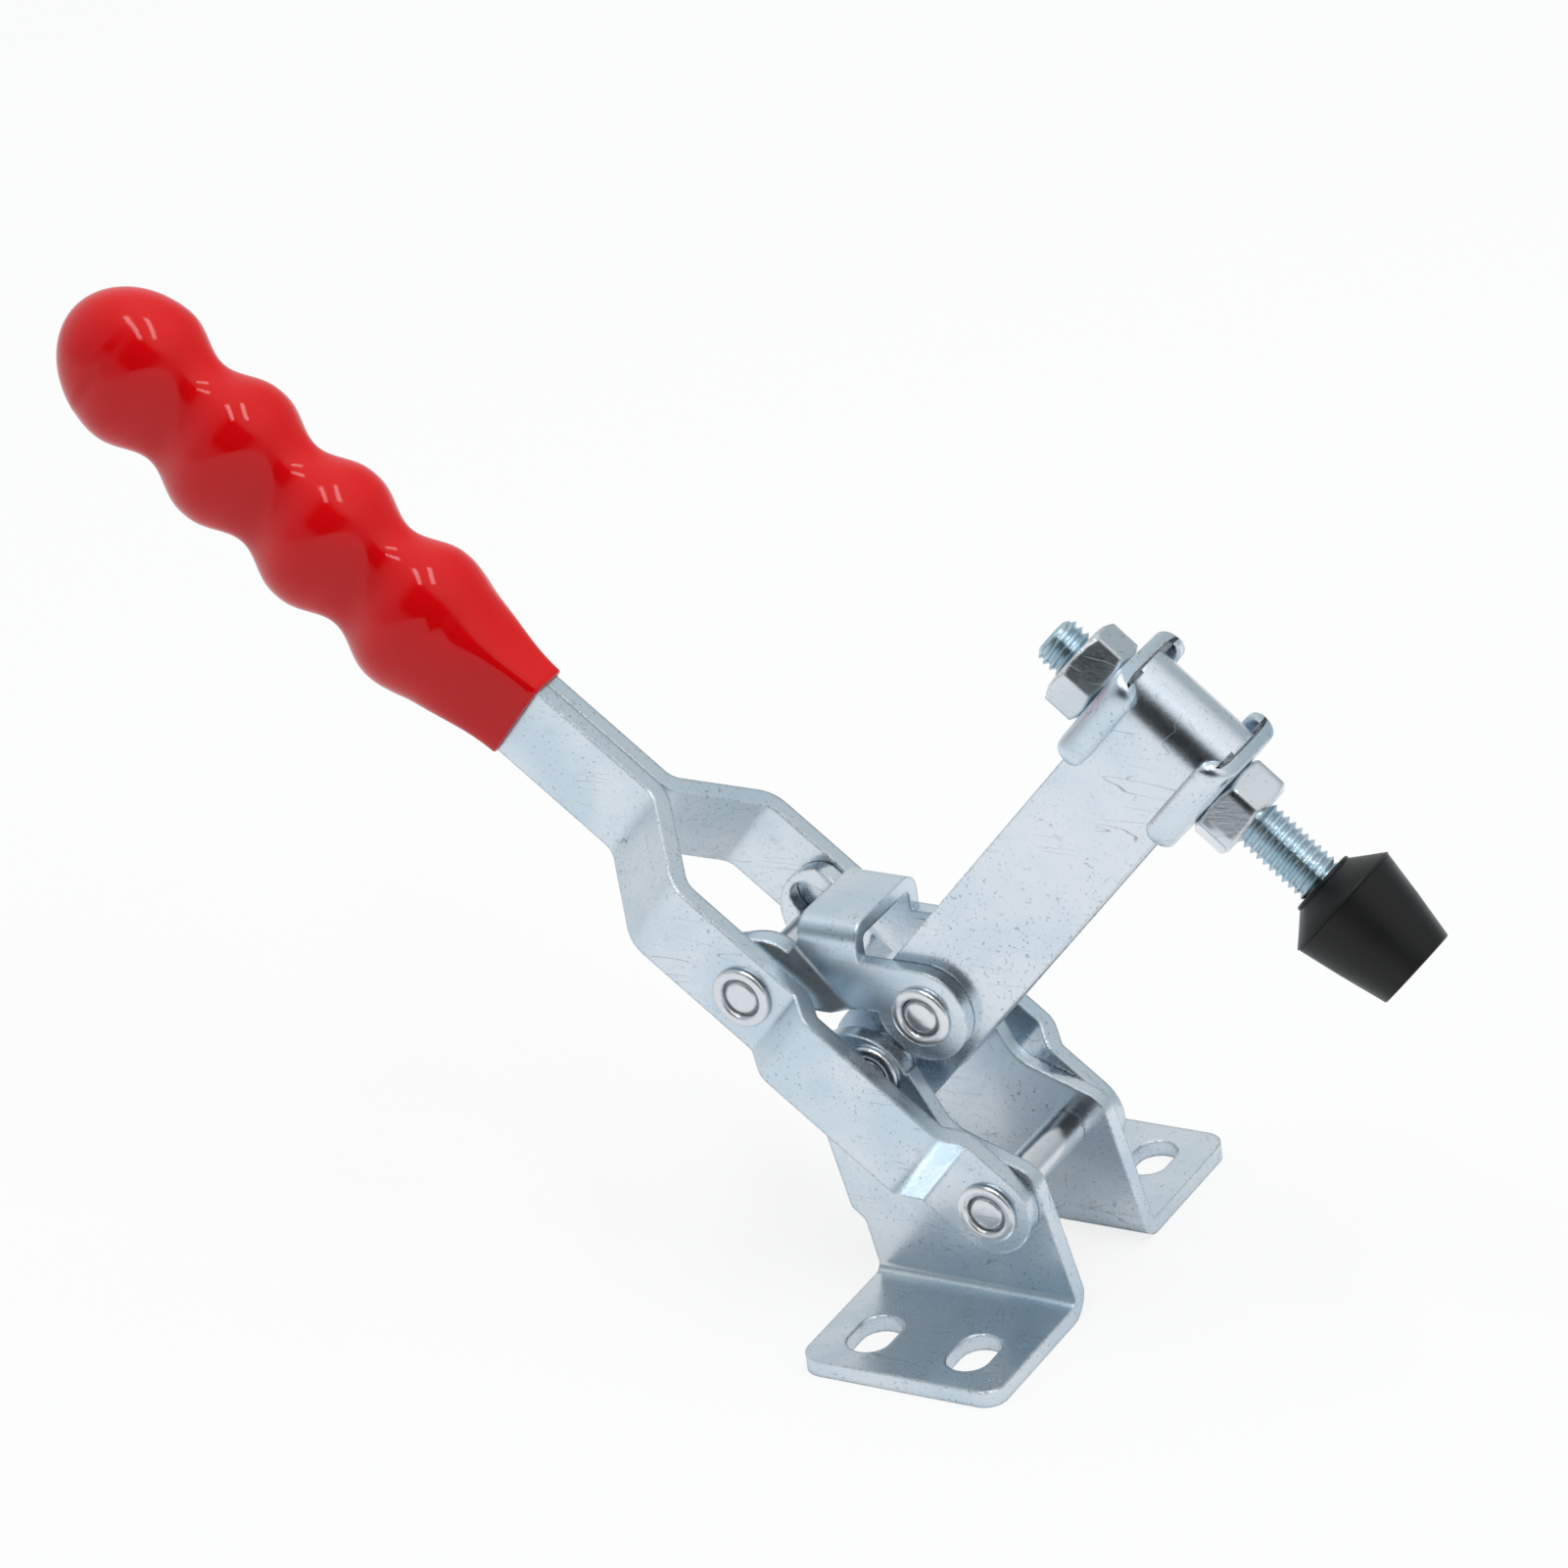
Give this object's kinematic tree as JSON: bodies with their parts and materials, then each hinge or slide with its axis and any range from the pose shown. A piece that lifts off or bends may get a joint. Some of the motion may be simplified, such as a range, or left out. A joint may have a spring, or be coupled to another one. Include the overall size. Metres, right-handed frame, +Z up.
{
  "type": "vertical toggle clamp",
  "caption": "Vertical hold-down toggle clamp with red moulded grip, U-bar, saddle link, flanged feet, and an adjustable spindle with a rubber tip.",
  "frame": {"origin": "on the foot underside, straight under the handle pivot, midway between the two base plates", "axes": "+Z up from the mounting surface, +X from the handle towards the clamping spindle, Y across the clamp"},
  "size_m": [0.2323, 0.0794, 0.151],
  "materials": {
    "zinc_sheet": "pale blue zinc plating, lightly scratched",
    "zinc_bar": "pale blue zinc plating on the bar and its washers",
    "zinc_bright": "bright zinc",
    "red_grip": "glossy red vinyl",
    "black_rubber": "matt black rubber"
  },
  "bodies": {
    "base": {"base_plate_near": "zinc_sheet", "base_plate_far": "zinc_sheet", "rivet_a": "zinc_bright", "sleeve_a": "zinc_bright", "rivet_b": "zinc_bright", "sleeve_b": "zinc_bright", "bar_spacer_near": "zinc_bright", "bar_spacer_far": "zinc_bright"},
    "handle": {"handle_plate_near": "zinc_sheet", "handle_plate_far": "zinc_sheet", "grip": "red_grip", "rivet_d": "zinc_bright", "sleeve_d": "zinc_bright"},
    "bar": {"bar": "zinc_bar", "rivet_c": "zinc_bright", "sleeve_c": "zinc_bright"},
    "link": {"link": "zinc_sheet"},
    "carriage": {"washer_upper": "zinc_bar", "washer_lower": "zinc_bar"},
    "spindle": {"spindle": "zinc_bright", "tip": "black_rubber"},
    "nut_upper": {"nut_upper": "zinc_bright"},
    "nut_lower": {"nut_lower": "zinc_bright"}
  },
  "joints": [
    {"name": "handle_swing", "type": "hinge", "parent": "base", "child": "handle", "pos_m": [0, 0, 0.0191], "axis": [0, -1, 0], "range_deg": [-32.5, 12]},
    {"name": "bar_swing", "type": "hinge", "parent": "base", "child": "bar", "pos_m": [-0.0196, 0, 0.03845], "axis": [0, -1, 0], "range_deg": [-45.6, 16.9]},
    {"name": "link_swing", "type": "hinge", "parent": "bar", "child": "link", "pos_m": [-0.01095, 0, 0.0484], "axis": [0, -1, 0], "range_deg": [-21.2, 7.9]},
    {"name": "spindle_position", "type": "slide", "parent": "bar", "child": "carriage", "axis": [0.6561, 0, 0.7547], "range_m": [-0.03, 0.0022]},
    {"name": "spindle_height", "type": "slide", "parent": "carriage", "child": "spindle", "axis": [0.7547, 0, -0.6561], "range_m": [-0.011, 0.004]},
    {"name": "nut_upper_turn", "type": "hinge", "parent": "carriage", "child": "nut_upper", "pos_m": [0.03123, 0, 0.09692], "axis": [0.7547, 0, -0.6561], "continuous": true},
    {"name": "nut_lower_turn", "type": "hinge", "parent": "carriage", "child": "nut_lower", "pos_m": [0.03123, 0, 0.09692], "axis": [0.7547, 0, -0.6561], "continuous": true}
  ],
  "couplings": [
    {"joint": "bar_swing", "follows": "handle_swing", "ratio": 1.4},
    {"joint": "link_swing", "follows": "handle_swing", "ratio": 0.65}
  ]
}
